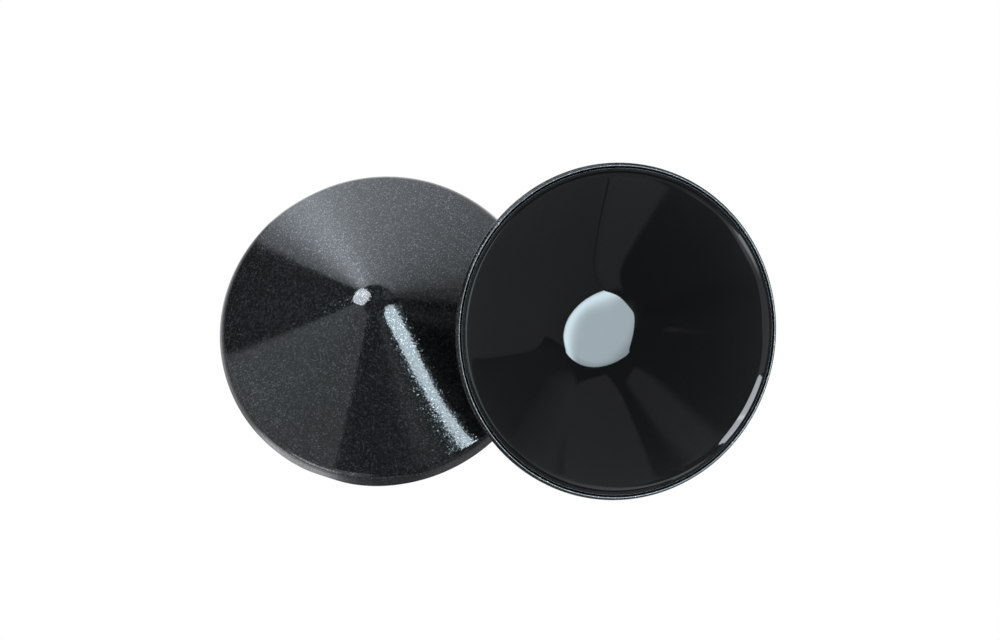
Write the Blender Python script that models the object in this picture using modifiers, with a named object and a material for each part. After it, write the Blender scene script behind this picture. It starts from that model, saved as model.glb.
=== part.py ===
"""A pair of shallow conical covers: one rests on its rim, the other lies tipped on its flank.

Each cover is an outer shell with a short flared skirt and a separate liner inside it.
Units are metres. +Z is up, and the surface that both covers rest on is z = 0.
"""

from math import atan2, cos, exp, pi, radians, sin, tan

import bpy
from mathutils import Vector

COLLECTION = "conical_cover_pair"
SEGMENTS = 64                 # facets round each turned piece
MERGE = 0.00001               # merge distance where a profile meets its axis

# Outer shell
RIM_RADIUS = 0.0500           # at the widest circle of the rim
RIM_WIDEST_HEIGHT = 0.00135   # height of that circle above the rim plane
SHOULDER_RADIUS = 0.04865     # where the skirt turns into the cone
SKIRT_HEIGHT = 0.00498
SLOPE = radians(29.16)        # of the cone, from the rim plane
TIP_RADIUS = 0.0130
SHOULDER_ROUND = 0.0008
RIM_ROUND = 0.0009
SEAT_OUTER = 0.0494           # flat ring that the cover stands on
SEAT_INNER = 0.0489
SHELL_WALL = 0.0016
SHELL_LIP_RADIUS = 0.04875    # inner edge of the shell's rim
SHELL_LIP_HEIGHT = 0.00025
SHELL_CORNER_RADIUS = 0.04805   # inside the shoulder

# Liner
FIT_GAP = 0.0003              # between the shell and the liner
LINER_WALL = 0.0019
LIP_SEAT_HEIGHT = 0.0003      # the liner's edge stands back from the rim plane
LIP_SIDE_HEIGHT = 0.0005
LIP_OUTER = 0.04845
LIP_INNER = 0.0479
LIP_CHAMFER = 0.0001
LINER_CORNER_RADIUS = 0.04775   # outside, under the shell's shoulder
BOWL_CORNER_RADIUS = 0.04725  # inside, where the wall turns into the cone
BOWL_CORNER_ROUND = 0.0046
BOWL_FLOOR_REACH = 0.0210     # the bowl's middle is flat and turns up into the cone by here
BOWL_FLOOR_TURN = 0.01265     # radius where it has turned most of the way
BOWL_FLOOR_POWER = 3.0
BOWL_FLOOR_STEPS = 7
HEIGHT_STEPS = 60             # for adding up the floor's height within each of those

# Arrangement
TIPPED_TIP_DISTANCE = 1.248 * RIM_RADIUS   # from the resting cover's axis to the other's tip
TIPPED_AZIMUTH = radians(-46.25)           # the way that the tipped cover faces

FLANK_RUN = SKIRT_HEIGHT + SHOULDER_RADIUS * tan(SLOPE)   # height of the cone's sharp apex


def flank_height(radius, depth=0.0):
    """Height of the cone at a radius, for a surface set in by depth from the outer one."""
    return FLANK_RUN - radius * tan(SLOPE) - depth / cos(SLOPE)


def tip_arc(tip_radius, depth, steps):
    """Rounded tip, from the axis out to the start of the straight flank."""
    centre = FLANK_RUN - (depth + tip_radius) / cos(SLOPE)
    angles = [SLOPE * i / steps for i in range(steps + 1)]
    return [(tip_radius * sin(a), centre + tip_radius * cos(a)) for a in angles]


def floor_rise(radius):
    """Steepness of the bowl's middle at a radius: level on the axis, the cone's at its reach."""
    return tan(SLOPE * (1 - exp(-((radius / BOWL_FLOOR_TURN) ** BOWL_FLOOR_POWER))))


def bowl_floor(depth):
    """Middle of the bowl, from the straight flank in to the axis."""
    count = BOWL_FLOOR_STEPS * HEIGHT_STEPS
    width = BOWL_FLOOR_REACH / count
    radius, height = BOWL_FLOOR_REACH, flank_height(BOWL_FLOOR_REACH, depth)
    points = [(radius, height)]
    for i in range(count - 1, -1, -1):
        height += floor_rise((i + 0.5) * width) * width
        if i % HEIGHT_STEPS == 0:
            points.append((i * width, height))
    return points


def rounded(before, corner, after, radius, steps):
    """Points of an arc that rounds a corner of the profile."""
    to_before = Vector(before) - Vector(corner)
    to_after = Vector(after) - Vector(corner)
    to_before.normalize()
    to_after.normalize()
    half = to_before.angle(to_after) / 2
    centre = Vector(corner) + (to_before + to_after).normalized() * (radius / sin(half))
    reach = radius / tan(half)
    start = Vector(corner) + to_before * reach - centre
    end = Vector(corner) + to_after * reach - centre
    first = atan2(start.y, start.x)
    turn = (atan2(end.y, end.x) - first + pi) % (2 * pi) - pi
    points = []
    for i in range(steps + 1):
        angle = first + turn * i / steps
        points.append((centre.x + radius * cos(angle), centre.y + radius * sin(angle)))
    return points


def shell_profile():
    """Outer shell, from the outside of the tip round the rim to the inside of the tip."""
    shoulder = (SHOULDER_RADIUS, SKIRT_HEIGHT)
    widest = (RIM_RADIUS, RIM_WIDEST_HEIGHT)
    seat_outer = (SEAT_OUTER, 0.0)
    outer_tip = tip_arc(TIP_RADIUS, 0.0, 4)
    inner_tip = tip_arc(TIP_RADIUS - SHELL_WALL, SHELL_WALL, 3)
    inside = [
        (SEAT_INNER, 0.0),
        (SHELL_LIP_RADIUS, SHELL_LIP_HEIGHT),
        (SHELL_CORNER_RADIUS, flank_height(SHELL_CORNER_RADIUS, SHELL_WALL)),
    ]
    return (
        outer_tip
        + rounded(outer_tip[-1], shoulder, widest, SHOULDER_ROUND, 2)
        + rounded(shoulder, widest, seat_outer, RIM_ROUND, 2)
        + [seat_outer]
        + inside
        + inner_tip[::-1]
    )


def liner_profile():
    """Liner, from the top of its tip down its outside, round its edge and back up the bowl."""
    set_in = SHELL_WALL + FIT_GAP
    outer_tip = tip_arc(TIP_RADIUS - set_in, set_in, 3)
    bowl_depth = set_in + LINER_WALL
    floor = bowl_floor(bowl_depth)
    lip_inner = (LIP_INNER, LIP_SIDE_HEIGHT)
    bowl_corner = (BOWL_CORNER_RADIUS, flank_height(BOWL_CORNER_RADIUS, bowl_depth))
    edge = [
        (LINER_CORNER_RADIUS, flank_height(LINER_CORNER_RADIUS, set_in)),
        (LIP_OUTER, LIP_SIDE_HEIGHT),
        (LIP_OUTER - LIP_CHAMFER, LIP_SEAT_HEIGHT),
        (LIP_INNER + LIP_CHAMFER, LIP_SEAT_HEIGHT),
        lip_inner,
    ]
    return (
        outer_tip
        + edge
        + rounded(lip_inner, bowl_corner, floor[0], BOWL_CORNER_ROUND, 3)
        + floor
    )


def material(name, colour, roughness, metallic, coat):
    """Principled material with a plain finish."""
    made = bpy.data.materials.new(name)
    made.use_nodes = True
    shader = made.node_tree.nodes["Principled BSDF"]
    shader.inputs["Base Color"].default_value = (*colour, 1.0)
    shader.inputs["Roughness"].default_value = roughness
    shader.inputs["Metallic"].default_value = metallic
    shader.inputs["Coat Weight"].default_value = coat
    made.diffuse_color = (*colour, 1.0)
    return made


def turned(name, profile, finish, parent, collection):
    """Solid of revolution about its parent's Z axis."""
    mesh = bpy.data.meshes.new(name)
    vertices = [(radius, 0.0, height) for radius, height in profile]
    edges = [(i, i + 1) for i in range(len(vertices) - 1)]
    mesh.from_pydata(vertices, edges, [])
    mesh.materials.append(finish)
    piece = bpy.data.objects.new(name, mesh)
    piece.parent = parent
    collection.objects.link(piece)
    screw = piece.modifiers.new("turn", "SCREW")
    screw.axis = "Z"
    screw.angle = 2 * pi
    screw.steps = SEGMENTS
    screw.render_steps = SEGMENTS
    screw.use_merge_vertices = True
    screw.merge_threshold = MERGE
    screw.use_smooth_shade = True
    return piece


def cover(name, place, finishes, collection):
    """Outer shell and liner of one cover, both about the empty that places it."""
    shell = turned(f"{name}_shell", shell_profile(), finishes["flake"], place, collection)
    liner = turned(f"{name}_liner", liner_profile(), finishes["gloss"], place, collection)
    return [shell, liner]


def empty(name, parent, collection):
    """Frame for placing what hangs under it."""
    made = bpy.data.objects.new(name, None)
    made.empty_display_size = RIM_RADIUS
    made.parent = parent
    collection.objects.link(made)
    return made


def centre_over_origin(pieces, base):
    """Move the base so that the pieces' box is centred over the origin in X and Y."""
    bpy.context.view_layer.update()
    graph = bpy.context.evaluated_depsgraph_get()
    corners = []
    for piece in pieces:
        shape = piece.evaluated_get(graph)
        corners += [shape.matrix_world @ vertex.co for vertex in shape.data.vertices]
    for axis in (0, 1):
        values = [corner[axis] for corner in corners]
        base.location[axis] -= (min(values) + max(values)) / 2
    bpy.context.view_layer.update()


def build():
    for old in list(bpy.data.objects):
        bpy.data.objects.remove(old, do_unlink=True)
    collection = bpy.data.collections.new(COLLECTION)
    bpy.context.scene.collection.children.link(collection)
    finishes = {
        "flake": material("black_flake_lacquer", (0.022, 0.024, 0.027), 0.28, 0.35, 1.0),
        "gloss": material("gloss_black", (0.006, 0.006, 0.007), 0.06, 0.0, 1.0),
    }
    base = empty("pair_base", None, collection)
    resting_place = empty("resting_cover_frame", base, collection)
    pieces = cover("resting_cover", resting_place, finishes, collection)

    # The tipped cover lies on one line of its flank: it is turned over and leans by the slope,
    # so that line is level, and its sharp apex would touch the surface.
    tipped_place = empty("tipped_cover_frame", base, collection)
    tipped_place.rotation_euler = (0.0, pi + SLOPE, TIPPED_AZIMUTH)
    lean = FLANK_RUN * sin(SLOPE)
    tipped_place.location = (
        TIPPED_TIP_DISTANCE + lean * cos(TIPPED_AZIMUTH),
        lean * sin(TIPPED_AZIMUTH),
        FLANK_RUN * cos(SLOPE),
    )
    pieces += cover("tipped_cover", tipped_place, finishes, collection)
    centre_over_origin(pieces, base)


build()
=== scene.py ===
"""Looks for a pair of shallow conical covers: speckled lacquer outside, gloss black inside.

One cover rests on its rim, the other lies tipped on its flank and shows its bowl. Metres, +Z up.
"""

from math import atan2, cos, exp, pi, radians, sin, tan

import bpy
import numpy as np
from mathutils import Matrix, Vector

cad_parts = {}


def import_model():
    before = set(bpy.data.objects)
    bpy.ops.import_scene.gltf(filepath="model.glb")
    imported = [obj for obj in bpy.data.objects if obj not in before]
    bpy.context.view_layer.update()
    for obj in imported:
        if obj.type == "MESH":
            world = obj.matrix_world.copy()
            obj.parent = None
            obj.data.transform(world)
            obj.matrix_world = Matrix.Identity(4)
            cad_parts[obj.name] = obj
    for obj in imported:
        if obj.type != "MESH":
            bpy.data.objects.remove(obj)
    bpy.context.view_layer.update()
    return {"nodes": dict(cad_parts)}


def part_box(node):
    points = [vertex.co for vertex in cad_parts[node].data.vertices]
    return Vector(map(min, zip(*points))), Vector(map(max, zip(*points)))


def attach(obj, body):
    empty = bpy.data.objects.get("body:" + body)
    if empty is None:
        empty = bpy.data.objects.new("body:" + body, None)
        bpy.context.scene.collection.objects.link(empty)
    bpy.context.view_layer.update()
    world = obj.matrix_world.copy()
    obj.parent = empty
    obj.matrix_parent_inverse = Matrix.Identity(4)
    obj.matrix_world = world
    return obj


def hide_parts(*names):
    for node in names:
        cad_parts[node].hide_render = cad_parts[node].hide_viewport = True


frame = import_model()

# Shape of one cover, about its own axis: heights are above the rim plane, pairs are (radius, height)
SLOPE = radians(29.16)
SHOULDER_RADIUS = 0.04865
SKIRT_HEIGHT = 0.00498
APEX = SKIRT_HEIGHT + SHOULDER_RADIUS * tan(SLOPE)
TIP_RADIUS = 0.0130
SHELL_WALL = 0.0016
FIT_GAP = 0.0003
LINER_WALL = 0.0019
SHOULDER_ROUND = 0.0045
SKIRT_FOOT = (0.05000, 0.00115)
SKIRT_FOOT_ROUND = 0.0008
SEAT_OUTER = (0.04925, 0.0)
SEAT_INNER = (0.04900, 0.0)
SHELL_LIP = (0.04875, 0.0005)
SHELL_INSIDE = 0.04805        # radius where the shell's inside turns from the lip to the flank
LINER_SHOULDER = 0.04775
LINER_FOOT = (0.04845, 0.0006)
LINER_CREST = (0.04832, 0.00014)
LINER_LIP = (0.04752, 0.00060)
BOWL_CORNER = 0.0466
BOWL_CORNER_ROUND = 0.0053
EDGE_ROUND = 0.0003           # small roundings that only soften an edge
BOWL_FLOOR_REACH = 0.0210     # the bowl's middle is flat and turns up into the flank by here
BOWL_FLOOR_TURN = 0.01265     # radius where it has turned most of the way
BOWL_FLOOR_POWER = 3.0
SHELL_SEGMENTS = 720
LINER_SEGMENTS = 480
FLANK_RINGS = 24
BOWL_FLOOR_RINGS = 84

# Camera
VIEW_AZIMUTH = radians(10.34)     # it stands this far round from the front, towards +X
VIEW_ELEVATION = radians(71.04)
VIEW_ROLL = radians(-10.74)
VIEW_TARGET = Vector((0.7245, 0.0499, 0.0025))     # from the resting cover, in cover radii
VIEW_DISTANCE = 18.38                              # in cover radii
LENS_MM = 108.0
SENSOR_MM = 36.0


# ---------------------------------------------------------------- soft steps

def smooth(low, high, value):
    """0 below low, 1 above high, and an even turn between."""
    t = min(max((value - low) / (high - low), 0.0), 1.0)
    return t * t * (3 - 2 * t)


def band(value, low, high, soft):
    """1 between low and high, fading out over soft at both ends."""
    return smooth(low - soft, low + soft, value) * (1 - smooth(high - soft, high + soft, value))


def ramp(value, stops):
    """Straight runs between (place, level) stops."""
    for (a, low), (b, high) in zip(stops, stops[1:]):
        if value <= b:
            return low + (high - low) * max(value - a, 0.0) / (b - a)
    return stops[-1][1]


# ---------------------------------------------------------------- places read from the frame

def cover_place(node):
    """Frame of a turned CAD node: origin at the centre of its rim plane, +Z towards its tip."""
    points = np.array([vertex.co for vertex in frame["nodes"][node].data.vertices])
    middle = points.mean(axis=0)
    axis = np.linalg.svd(points - middle, full_matrices=False)[2][2]
    along = (points - middle) @ axis
    across = np.linalg.norm(points - middle - np.outer(along, axis), axis=1)
    tip = along[across.argmin()]
    if tip < 0:
        axis, along = -axis, -along
    rim_centre = middle + axis * along.min()
    direction = Vector(axis).normalized()
    turn = direction.to_track_quat("Z", "Y").to_matrix().to_4x4()
    return Matrix.Translation(Vector(rim_centre)) @ turn


# ---------------------------------------------------------------- turned surfaces

def flank_height(radius, depth=0.0):
    """Height of the cone at a radius, for a surface set in by depth from the outer one."""
    return APEX - radius * tan(SLOPE) - depth / cos(SLOPE)


def tip_arc(tip_radius, depth, steps):
    """Rounded tip, from the axis out to the start of the straight flank."""
    centre = APEX - (depth + tip_radius) / cos(SLOPE)
    angles = [SLOPE * i / steps for i in range(steps + 1)]
    return [(tip_radius * sin(a), centre + tip_radius * cos(a)) for a in angles]


def floor_rise(radius):
    """Steepness of the bowl's middle: level on the axis, the flank's at its reach."""
    return tan(SLOPE * (1 - exp(-((radius / BOWL_FLOOR_TURN) ** BOWL_FLOOR_POWER))))


def bowl_floor(depth, steps):
    """Middle of the bowl, from the flank in to the axis."""
    width = BOWL_FLOOR_REACH / steps
    height = flank_height(BOWL_FLOOR_REACH, depth)
    points = [(BOWL_FLOOR_REACH, height)]
    for i in range(steps - 1, -1, -1):
        height += floor_rise((i + 0.5) * width) * width
        points.append((i * width, height))
    return points


def straight(start, end, steps):
    """Points between two ends, without the ends."""
    return [
        tuple(a + (b - a) * i / steps for a, b in zip(start, end))
        for i in range(1, steps)
    ]


def rounded(before, corner, after, radius, steps):
    """Points of an arc that rounds a corner of the profile."""
    corner = Vector(corner)
    to_before = (Vector(before) - corner).normalized()
    to_after = (Vector(after) - corner).normalized()
    half = to_before.angle(to_after) / 2
    centre = corner + (to_before + to_after).normalized() * (radius / sin(half))
    reach = radius / tan(half)
    start = corner + to_before * reach - centre
    end = corner + to_after * reach - centre
    first = atan2(start.y, start.x)
    turn = (atan2(end.y, end.x) - first + pi) % (2 * pi) - pi
    angles = [first + turn * i / steps for i in range(steps + 1)]
    return [(centre.x + radius * cos(a), centre.y + radius * sin(a)) for a in angles]


def chain(corners, rounds, steps=6):
    """Corner points joined up, each rounded by its radius where it has one."""
    points = [corners[0]]
    for i in range(1, len(corners) - 1):
        if rounds[i]:
            points += rounded(corners[i - 1], corners[i], corners[i + 1], rounds[i], steps)
        else:
            points.append(corners[i])
    return points + [corners[-1]]


def shell_profile():
    outer_tip = tip_arc(TIP_RADIUS, 0.0, 14)
    inner_tip = tip_arc(TIP_RADIUS - SHELL_WALL, SHELL_WALL, 6)[::-1]
    rim = chain(
        [
            outer_tip[-1],
            (SHOULDER_RADIUS, SKIRT_HEIGHT),
            SKIRT_FOOT,
            SEAT_OUTER,
            SEAT_INNER,
            SHELL_LIP,
            (SHELL_INSIDE, flank_height(SHELL_INSIDE, SHELL_WALL)),
            inner_tip[0],
        ],
        [0, SHOULDER_ROUND, SKIRT_FOOT_ROUND, 0.0002, 0.00014, 0, EDGE_ROUND, 0],
        steps=10,
    )
    flank = straight(rim[0], rim[1], FLANK_RINGS)
    return outer_tip + flank + rim[1:-1] + inner_tip


def liner_profile():
    set_in = SHELL_WALL + FIT_GAP
    bowl_depth = set_in + LINER_WALL
    outer_tip = tip_arc(TIP_RADIUS - set_in, set_in, 6)
    middle = bowl_floor(bowl_depth, BOWL_FLOOR_RINGS)
    edge = chain(
        [
            outer_tip[-1],
            (LINER_SHOULDER, flank_height(LINER_SHOULDER, set_in)),
            LINER_FOOT,
            LINER_CREST,
            LINER_LIP,
            (BOWL_CORNER, flank_height(BOWL_CORNER, bowl_depth)),
            middle[0],
        ],
        [0, EDGE_ROUND, 0.0001, 0.00006, 0.0002, BOWL_CORNER_ROUND, 0],
        steps=9,
    )
    flank = straight(edge[-2], edge[-1], FLANK_RINGS)
    return outer_tip + edge[1:-1] + flank + middle


def near(angle, centre, width):
    """Smooth hill of height 1 round an angle in degrees."""
    away = (angle - radians(centre) + pi) % (2 * pi) - pi
    return exp(-((away / radians(width)) ** 2))


def low_only(height, top):
    """1 at the rim, falling to 0 at the top."""
    return max(0.0, 1 - max(height, 0.0) / top)


def dripped(radius, height, angle):
    """Resting shell: a run of lacquer at the front of the rim and a slightly uneven edge."""
    if radius < 0.047:
        return 0.0
    run = -0.00040 * near(angle, 251, 6) + 0.00006 * near(angle, 268, 6)
    sway = 0.00002 * (sin(3 * angle + 1.0) - 1) + 0.00001 * (sin(7 * angle) - 1)
    return (run + sway) * low_only(height, 0.005)


# Chips on the tipped rim: angle and width in degrees, depth
NICKS = [(94, 0.7, 0.00016), (82, 0.9, 0.00012), (176, 0.8, 0.00014), (171, 0.6, 0.00012),
         (31, 0.5, 0.00010), (338, 0.5, 0.00012), (222, 0.7, 0.00008)]


def nicked(radius, height, angle):
    """Tipped shell: tiny chips along the rim."""
    if radius < 0.0488:
        return 0.0
    chips = sum(depth * near(angle, centre, width) for centre, width, depth in NICKS)
    return -chips * low_only(height, 0.002)


def sharp_rim(radius, height):
    """1 on the narrow outer edge of the rim, 0 elsewhere."""
    return smooth(0.0492, 0.0494, radius) * (1 - smooth(0.0010, 0.0018, height))


def turned(name, profile, segments, place, shift=None):
    """Closed solid of revolution; shift(radius, height, angle) moves a point in or out.

    Its points carry reach, the radius as a part of the shoulder's, and edge, see sharp_rim.
    """
    points, reach, edge, rings = [], [], [], []
    for radius, height in profile:
        if radius < 1e-7:
            rings.append([len(points)])
            points.append((0.0, 0.0, height))
            reach.append(0.0)
            edge.append(0.0)
            continue
        first = len(points)
        for i in range(segments):
            angle = 2 * pi * i / segments
            moved = radius + (shift(radius, height, angle) if shift else 0.0)
            points.append((moved * cos(angle), moved * sin(angle), height))
            reach.append(radius / SHOULDER_RADIUS)
            edge.append(sharp_rim(radius, height))
        rings.append(list(range(first, first + segments)))
    faces = []
    for upper, lower in zip(rings, rings[1:]):
        for i in range(segments):
            j = (i + 1) % segments
            if len(upper) == 1:
                faces.append((upper[0], lower[i], lower[j]))
            elif len(lower) == 1:
                faces.append((upper[i], lower[0], upper[j]))
            else:
                faces.append((upper[i], lower[i], lower[j], upper[j]))
    mesh = bpy.data.meshes.new(name)
    mesh.from_pydata(points, [], faces)
    mesh.attributes.new("reach", "FLOAT", "POINT").data.foreach_set("value", reach)
    mesh.attributes.new("edge", "FLOAT", "POINT").data.foreach_set("value", edge)
    mesh.transform(place)
    mesh.shade_smooth()
    piece = bpy.data.objects.new(name, mesh)
    bpy.context.scene.collection.objects.link(piece)
    return piece


# ---------------------------------------------------------------- materials

class Nodes:
    """Short way of adding nodes to a material."""

    def __init__(self, name):
        self.material = bpy.data.materials.new(name)
        self.material.use_nodes = True
        self.tree = self.material.node_tree
        self.shader = self.tree.nodes["Principled BSDF"]

    def add(self, kind, **settings):
        node = self.tree.nodes.new(kind)
        for key, value in settings.items():
            setattr(node, key, value)
        return node

    def link(self, output, target):
        self.tree.links.new(output, target)

    def math(self, operation, *values):
        node = self.add("ShaderNodeMath", operation=operation)
        for socket, value in zip(node.inputs, values):
            if isinstance(value, (int, float)):
                socket.default_value = value
            else:
                self.link(value, socket)
        return node.outputs[0]

    def vector(self, operation, a, b):
        node = self.add("ShaderNodeVectorMath", operation=operation)
        for socket, value in zip(node.inputs, (a, b)):
            if isinstance(value, (tuple, list)):
                socket.default_value = value
            else:
                self.link(value, socket)
        return node.outputs[0]

    def unit(self, vector):
        node = self.add("ShaderNodeVectorMath", operation="NORMALIZE")
        self.link(vector, node.inputs[0])
        return node.outputs[0]

    def noise(self, place, scale, detail=2.0):
        node = self.add("ShaderNodeTexNoise")
        node.inputs["Scale"].default_value = scale
        node.inputs["Detail"].default_value = detail
        self.link(place, node.inputs["Vector"])
        return node.outputs["Fac"]

    def bump(self, height, distance, strength=1.0, normal=None):
        node = self.add("ShaderNodeBump")
        node.inputs["Distance"].default_value = distance
        node.inputs["Strength"].default_value = strength
        self.link(height, node.inputs["Height"])
        if normal is not None:
            self.link(normal, node.inputs["Normal"])
        return node.outputs["Normal"]

    def fade(self, value, low, high, start, end):
        node = self.add("ShaderNodeMapRange", clamp=True)
        self.link(value, node.inputs["Value"])
        node.inputs["From Min"].default_value = low
        node.inputs["From Max"].default_value = high
        node.inputs["To Min"].default_value = start
        node.inputs["To Max"].default_value = end
        return node.outputs["Result"]


FLAKE_SCALE = 3900.0       # flake cells in a metre
FLAT_FLAKE_X = -0.050      # left of here the flake lies flattest
FREE_FLAKE_X = -0.025      # and right of here it tilts freely


def tilted_cells(m, cells, still, wild, power, lively):
    """Surface normal turned a little, cell by cell; most cells hardly turn and a few turn far.

    lively scales every turn. Also gives each cell's luck, 0 to 1.
    """
    normal = m.add("ShaderNodeNewGeometry").outputs["Normal"]
    luck = m.add("ShaderNodeTexWhiteNoise", noise_dimensions="3D")
    m.link(cells.outputs["Position"], luck.inputs["Vector"])
    reach = m.math("MULTIPLY_ADD", m.math("POWER", luck.outputs["Value"], power), wild, still)
    reach = m.math("MULTIPLY", reach, lively)
    turn = m.vector("SUBTRACT", cells.outputs["Color"], (0.5, 0.5, 0.5))
    scaled = m.add("ShaderNodeVectorMath", operation="SCALE")
    m.link(turn, scaled.inputs[0])
    m.link(reach, scaled.inputs["Scale"])
    return m.unit(m.vector("ADD", normal, scaled.outputs[0])), luck.outputs["Value"]


def cell_pattern(m, place, scale):
    cells = m.add("ShaderNodeTexVoronoi", feature="F1")
    cells.inputs["Scale"].default_value = scale
    m.link(place, cells.inputs["Vector"])
    return cells


def flake_lacquer():
    """Black lacquer full of fine silver flake, each tilted its own way, under a clear coat."""
    m = Nodes("flake_lacquer")
    place = m.add("ShaderNodeTexCoord").outputs["Object"]
    across = m.add("ShaderNodeSeparateXYZ")
    m.link(place, across.inputs[0])
    lively = m.fade(across.outputs["X"], FLAT_FLAKE_X, FREE_FLAKE_X, 0.35, 1.0)
    flakes = cell_pattern(m, place, FLAKE_SCALE)
    flake_normal, luck = tilted_cells(m, flakes, 0.05, 0.14, 3.0, lively)
    m.link(flake_normal, m.shader.inputs["Normal"])
    shine = m.math("POWER", luck, 7.0)
    density = m.fade(m.noise(place, 60.0), 0.3, 0.7, 0.75, 1.15)
    colour = m.add("ShaderNodeMix", data_type="RGBA")
    colour.inputs["A"].default_value = (0.0120, 0.0124, 0.0129, 1.0)
    colour.inputs["B"].default_value = (0.130, 0.134, 0.143, 1.0)
    m.link(m.math("MULTIPLY", shine, density), colour.inputs["Factor"])
    m.link(colour.outputs["Result"], m.shader.inputs["Base Color"])
    m.shader.inputs["Metallic"].default_value = 0.75
    m.shader.inputs["Specular IOR Level"].default_value = 0.0
    m.shader.inputs["Roughness"].default_value = 0.13
    edge = m.add("ShaderNodeAttribute", attribute_name="edge").outputs["Fac"]
    m.link(m.fade(edge, 0.0, 1.0, 1.0, 0.25), m.shader.inputs["Coat Weight"])   # thin on the edge
    m.shader.inputs["Coat Roughness"].default_value = 0.015
    m.shader.inputs["Coat IOR"].default_value = 1.5
    dimples = cell_pattern(m, place, FLAKE_SCALE * 0.97)
    skin, _ = tilted_cells(m, dimples, 0.014, 0.060, 2.0, lively)
    wave = m.bump(m.noise(place, 110.0), 0.0001, 0.05, skin)
    m.link(wave, m.shader.inputs["Coat Normal"])
    return m.material


def gloss_liner():
    """Deep gloss black, slightly wavy; its dark base colour is faintly lighter in cloudy patches,
    more so towards the rim.
    """
    m = Nodes("gloss_liner")
    place = m.add("ShaderNodeTexCoord").outputs["Object"]
    reach = m.add("ShaderNodeAttribute", attribute_name="reach").outputs["Fac"]
    # base colour a little lighter in cloudy patches, and lighter still towards the rim
    liner_base_tone = m.add("ShaderNodeMix", data_type="RGBA")
    liner_base_tone.inputs["A"].default_value = (0.0018, 0.0017, 0.0017, 1.0)
    liner_base_tone.inputs["B"].default_value = (0.0044, 0.0042, 0.0042, 1.0)
    cloud = m.fade(m.noise(place, 45.0, 5.0), 0.35, 0.7, 0.0, 0.45)
    edge = m.math("POWER", reach, 5.0)
    m.link(m.math("MULTIPLY", m.math("ADD", cloud, 0.7), edge), liner_base_tone.inputs["Factor"])
    m.link(liner_base_tone.outputs["Result"], m.shader.inputs["Base Color"])
    m.shader.inputs["IOR"].default_value = 1.5
    m.link(m.fade(m.noise(place, 50.0, 5.0), 0.3, 0.7, 0.01, 0.05), m.shader.inputs["Roughness"])
    slow = m.bump(m.noise(place, 45.0, 1.0), 0.0002, 0.10)
    peel = m.bump(m.noise(place, 260.0, 1.0), 0.00004, 0.08, slow)
    m.link(peel, m.shader.inputs["Normal"])
    return m.material


# ---------------------------------------------------------------- stage, lights and camera

KEY_TINT = (0.83, 1.0, 1.09)
SWEEP_TINT = (0.92, 1.0, 1.07)
ROOM_TINT = (0.985, 1.0, 1.02)
DOME_RADIUS = 0.9
DOME_FOOT = -14.0         # degrees below the horizon


def glow_material(name, seen=None):
    """Glow read from the mesh's own colours; seen is its look straight to the camera."""
    made = bpy.data.materials.new(name)
    made.use_nodes = True
    tree = made.node_tree
    tree.nodes.clear()
    output = tree.nodes.new("ShaderNodeOutputMaterial")
    glow = tree.nodes.new("ShaderNodeEmission")
    painted = tree.nodes.new("ShaderNodeAttribute")
    painted.attribute_name = "glow"
    tree.links.new(painted.outputs["Color"], glow.inputs["Color"])
    if seen is None:
        tree.links.new(glow.outputs[0], output.inputs["Surface"])
        return made
    face = tree.nodes.new("ShaderNodeEmission")
    face.inputs["Strength"].default_value = seen
    mix = tree.nodes.new("ShaderNodeMixShader")
    path = tree.nodes.new("ShaderNodeLightPath")
    tree.links.new(path.outputs["Is Camera Ray"], mix.inputs[0])
    tree.links.new(glow.outputs[0], mix.inputs[1])
    tree.links.new(face.outputs[0], mix.inputs[2])
    tree.links.new(mix.outputs[0], output.inputs["Surface"])
    return made


def glowing_sheet(name, columns, rows, place, level, tint, seen=None):
    """Grid of (s, t) in 0..1; place(s, t) gives each point and level(s, t) its glow."""
    points, colours, faces = [], [], []
    for i in range(rows + 1):
        for j in range(columns + 1):
            s, t = j / columns, i / rows
            points.append(tuple(place(s, t)))
            value = level(s, t)
            hue = tint(value) if callable(tint) else tint
            colours += [value * hue[0], value * hue[1], value * hue[2], 1.0]
    for i in range(rows):
        for j in range(columns):
            k = i * (columns + 1) + j
            faces.append((k, k + 1, k + columns + 2, k + columns + 1))
    mesh = bpy.data.meshes.new(name)
    mesh.from_pydata(points, [], faces)
    mesh.color_attributes.new("glow", "FLOAT_COLOR", "POINT").data.foreach_set("color", colours)
    mesh.materials.append(glow_material(name, seen))
    sheet = bpy.data.objects.new(name, mesh)
    bpy.context.scene.collection.objects.link(sheet)
    sheet.visible_camera = seen is not None
    sheet.visible_shadow = False
    return sheet


def towards(azimuth, elevation):
    """Unit vector; azimuth in degrees round from +X, elevation in degrees."""
    a, e = radians(azimuth), radians(elevation)
    return Vector((cos(e) * cos(a), cos(e) * sin(a), sin(e)))


# The pale sweep behind the covers: azimuth in degrees, radiance
BACK_SWEEP = [(18, 0.04), (33, 0.28), (42, 0.60), (51, 0.85), (59, 1.0), (75, 1.25), (96, 1.55),
              (102, 1.75), (109, 2.2), (116, 2.8), (122, 2.35), (129, 1.15), (132.6, 0.85),
              (134, 0.16)]
ROOM_LEVEL = 0.082
CREST_LAMP = 3.2          # low lamp at the left front that draws the line along both rims


def sweep_and_cards(turn, elevation):
    """The pale sweep behind and the large card at the left, with a low strip at the front."""
    level = 0.0
    if BACK_SWEEP[0][0] <= turn <= BACK_SWEEP[-1][0]:
        top = min(26 + 0.8 * max(turn - 33, 0.0), 33)
        level += ramp(turn, BACK_SWEEP) * (1 - smooth(top - 2, top + 3, elevation))
    card = 0.60 - 0.13 * smooth(182, 225, turn)
    card *= band(turn, 171.5, 240, 1.2)
    level += card * smooth(-24, -10, elevation) * (1 - smooth(58, 66, elevation))
    return level + 0.40 * band(turn, 240, 276, 5) * (1 - smooth(8, 16, elevation))


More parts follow.
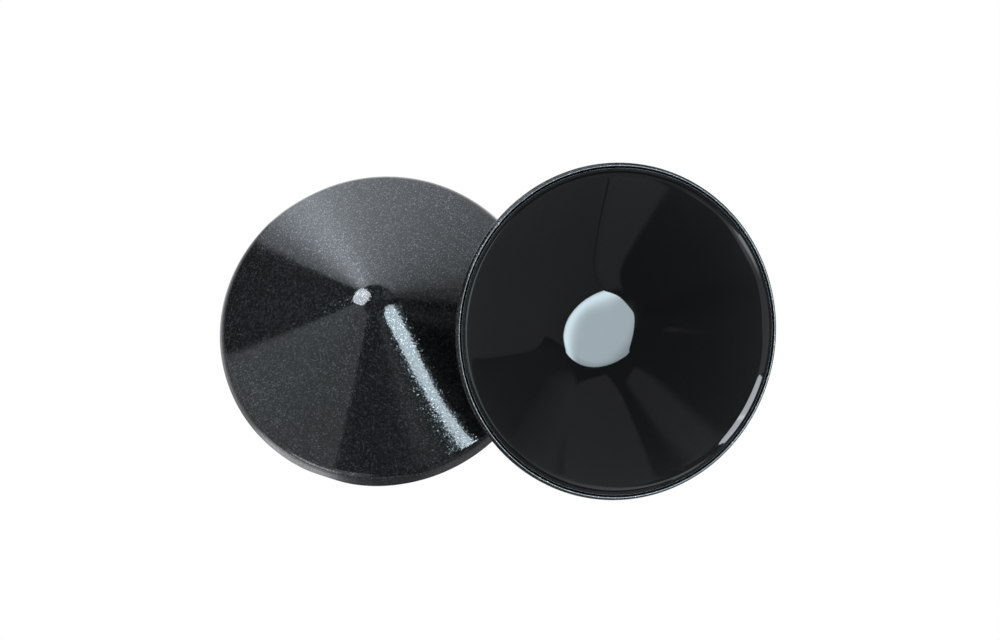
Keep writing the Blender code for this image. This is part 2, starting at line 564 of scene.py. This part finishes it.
def lamps(turn, elevation):
    """Small lights round the front, and the wide dim one that the bowl mirrors."""
    level = 0.20 * band(turn, 283, 300, 6) * band(elevation, 42, 60, 5)
    level += CREST_LAMP * band(turn, 224, 244, 6) * band(elevation, -12, 16, 7)
    level += 0.9 * band(turn, 240, 258, 5) * band(elevation, 10, 36, 5)
    wide = 0.16 * (1 + 0.4 * band(turn, 287, 304, 3))
    return level + wide * band(turn, 288.5, 367, 1.2) * (1 - smooth(24, 32, elevation))


def room_level(azimuth, elevation):
    """Radiance of the dim studio around the object; azimuth -180 to 180 degrees."""
    turn = azimuth % 360
    level = ROOM_LEVEL + sweep_and_cards(turn, elevation) + lamps(turn, elevation)
    level += 0.03 * band(azimuth, 4, 33, 4) * (1 - smooth(20, 28, elevation))
    panel = band(azimuth, 28, 58, 1.2) * smooth(14, 22, elevation) * (1 - smooth(53, 56, elevation))
    level = max(level, 0.30 * panel)
    # Faint patches that the covers mirror: three lighter, two darker
    level += 0.20 * band(azimuth, 54, 92, 4) * band(elevation, 62, 78, 3)
    level += 0.05 * band(turn, 216, 240, 4) * band(elevation, 54, 64, 4)
    level += 0.07 * band(turn, 198, 208, 2) * band(elevation, 68, 76, 2)
    level -= 0.030 * band(turn, 138, 171, 4) * band(elevation, 10, 30, 5)
    return level - 0.022 * band(turn, 244, 268, 5) * band(elevation, 44, 54, 4)


def room_tint(value):
    """Dim surroundings and the brightest lamp are neutral, the pale sweep a little cool."""
    cool = smooth(0.3, 1.0, value) * (1 - smooth(2.9, 3.2, value))
    return [a + (b - a) * cool for a, b in zip(ROOM_TINT, SWEEP_TINT)]


def dome(middle):
    """Studio surroundings: a shell of soft light that the camera skips."""

    def spot(s, t):
        return -180 + 360 * s, DOME_FOOT + (90 - DOME_FOOT) * t

    def place(s, t):
        return middle + towards(*spot(s, t)) * DOME_RADIUS

    def level(s, t):
        return room_level(*spot(s, t))

    glowing_sheet("studio_dome", 360, 104, place, level, room_tint)


KEY_MIDDLE = Vector((4.58, -1.20, 3.68))     # from the resting cover, in cover radii
KEY_NORMAL = Vector((0.41, -0.38, 0.83))
KEY_ACROSS = Vector((0.63, 0.77, 0.04))
KEY_UNITS = (4.06, 3.28)                     # units of its outline, in cover radii
KEY_TOP = 0.76
KEY_CLOTH = 9.8
KEY_FOOT = 8.5


def key_softbox(resting, radius):
    """Main light, right front overhead: a rounded cloth, brighter along its foot."""
    normal = KEY_NORMAL.normalized()
    up = normal.cross(KEY_ACROSS.normalized()).normalized()
    across = up.cross(normal)
    middle = resting + KEY_MIDDLE * radius
    unit_across, unit_up = (size * radius for size in KEY_UNITS)

    def foot_line(s):
        return -0.48 - 0.10 * smooth(0.30, 0.62, s) + 0.16 * smooth(0.72, 1.0, s)

    def place(s, t):
        left = -0.62 - 0.10 * smooth(0.0, 0.3, t) + 0.50 * smooth(0.60, 1.0, t)
        right = 0.66 - 0.80 * t ** 2.4
        side = left + (right - left) * s
        rise = foot_line(s) + (KEY_TOP - foot_line(s)) * t
        return middle + across * side * unit_across + up * rise * unit_up

    def level(s, t):
        cloth = KEY_CLOTH * (1 - 0.40 * smooth(0.60, 1.0, t)) * (1 - 0.30 * smooth(0.75, 1.0, s))
        foot = KEY_FOOT * smooth(-0.05, 0.10, t) * (1 - smooth(0.12, 0.38, t))
        return cloth + foot

    glowing_sheet("key_softbox", 120, 120, place, level, KEY_TINT)


BACK_AZIMUTH, BACK_ELEVATION = 144, 48.5
BACK_DISTANCE = 0.80
BACK_HALF = 0.30
BACK_CLOTH = 9.0
BACK_TUBE = 5.0


def back_softbox(resting):
    """Second light, left back, with rounded corners and one bright tube across it."""
    aim = towards(BACK_AZIMUTH, BACK_ELEVATION)
    side = towards(BACK_AZIMUTH + 90, 0)
    rise = aim.cross(side)

    def place(s, t):
        a, b = 2 * s - 1, 2 * t - 1
        round_off = 1 - 0.18 * (a * b) ** 2
        return resting + aim * BACK_DISTANCE + (side * a * 0.95 + rise * b) * BACK_HALF * round_off

    def level(s, t):
        return BACK_CLOTH + BACK_TUBE * exp(-((s - 0.42) / 0.03) ** 2)

    glowing_sheet("back_softbox", 40, 40, place, level, SWEEP_TINT)


STAND_AZIMUTH = -57.5
STAND_DISTANCE = 0.30
STAND_HALF_WIDTH = 0.0014
STAND_HEIGHT = 0.24


def lamp_stand(tipped):
    """Thin dark stand at the front right, a hairline in the bowl."""
    foot = tipped + towards(STAND_AZIMUTH, 0) * STAND_DISTANCE
    side = towards(STAND_AZIMUTH + 90, 0) * STAND_HALF_WIDTH

    def place(s, t):
        return Vector((foot.x, foot.y, 0.001 + STAND_HEIGHT * t)) + side * (2 * s - 1)

    glowing_sheet("lamp_stand", 2, 12, place, lambda s, t: 0.10, ROOM_TINT)


FLOOR_REACH = 3.0
FLOOR_DROP = 0.0004       # just below the covers, so that no face is shared
FLOOR_STOPS = [(0.0, 0.52), (0.075, 0.52), (0.10, 0.34), (0.14, 0.24), (FLOOR_REACH, 0.24)]


def floor(resting):
    """Pure white to the camera; to the gloss, bright beside the covers and dimmer beyond."""

    def place(s, t):
        reach = FLOOR_REACH * s ** 3
        return Vector((resting.x, resting.y, -FLOOR_DROP)) + towards(360 * t, 0) * reach

    def level(s, t):
        reach, turn = FLOOR_REACH * s ** 3, 360 * t
        glow = ramp(reach, FLOOR_STOPS)
        if 40 <= turn <= BACK_SWEEP[-1][0]:
            glow += 0.7 * ramp(turn, BACK_SWEEP) * (1 - smooth(0.12, 0.25, reach))
        glow += 1.6 * band(turn, 222, 252, 8) * (1 - smooth(0.07, 0.11, reach))
        glow *= 1 - 0.55 * band(turn, 262, 288, 8) * (1 - smooth(0.08, 0.12, reach))
        return glow - 0.12 * band(turn, 6, 60, 1) * smooth(0.2, 0.3, reach)

    glowing_sheet("floor", 96, 120, place, level, ROOM_TINT, seen=1.0)


def world():
    """White backdrop for the camera; nothing else is left to see behind the dome."""
    made = bpy.data.worlds.new("studio")
    bpy.context.scene.world = made
    made.use_nodes = True
    made.node_tree.nodes["Background"].inputs["Color"].default_value = (1.0, 1.0, 1.0, 1.0)


def camera(target, distance):
    data = bpy.data.cameras.new("camera")
    data.lens = LENS_MM
    data.sensor_width = SENSOR_MM
    data.sensor_fit = "HORIZONTAL"
    seat = bpy.data.objects.new("camera", data)
    bpy.context.scene.collection.objects.link(seat)
    away = Vector((
        cos(VIEW_ELEVATION) * sin(VIEW_AZIMUTH),
        -cos(VIEW_ELEVATION) * cos(VIEW_AZIMUTH),
        sin(VIEW_ELEVATION),
    ))
    look = (-away).to_track_quat("-Z", "Y").to_matrix().to_4x4()
    roll = Matrix.Rotation(VIEW_ROLL, 4, "Z")
    seat.matrix_world = Matrix.Translation(target + away * distance) @ look @ roll
    bpy.context.scene.camera = seat


# ---------------------------------------------------------------- the scene

def build():
    lacquer = flake_lacquer()
    gloss = gloss_liner()
    places = {}
    for cover in ("resting_cover", "tipped_cover"):
        place = cover_place(f"{cover}_shell")
        places[cover] = place
        wear = dripped if cover == "resting_cover" else nicked
        shell = turned(f"{cover}_shell_fine", shell_profile(), SHELL_SEGMENTS, place, wear)
        liner = turned(f"{cover}_liner_fine", liner_profile(), LINER_SEGMENTS, place)
        shell.data.materials.append(lacquer)
        liner.data.materials.append(gloss)
        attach(shell, cover)
        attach(liner, cover)
        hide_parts(f"{cover}_shell")
        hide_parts(f"{cover}_liner")
    resting = places["resting_cover"].to_translation()
    low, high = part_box("resting_cover_shell")
    radius = (high[0] - low[0]) / 2

    bpy.context.scene.view_settings.view_transform = "Standard"
    world()
    floor(resting)
    dome(resting)
    key_softbox(resting, radius)
    back_softbox(resting)
    lamp_stand(places["tipped_cover"].to_translation())
    camera(resting + VIEW_TARGET * radius, VIEW_DISTANCE * radius)


build()
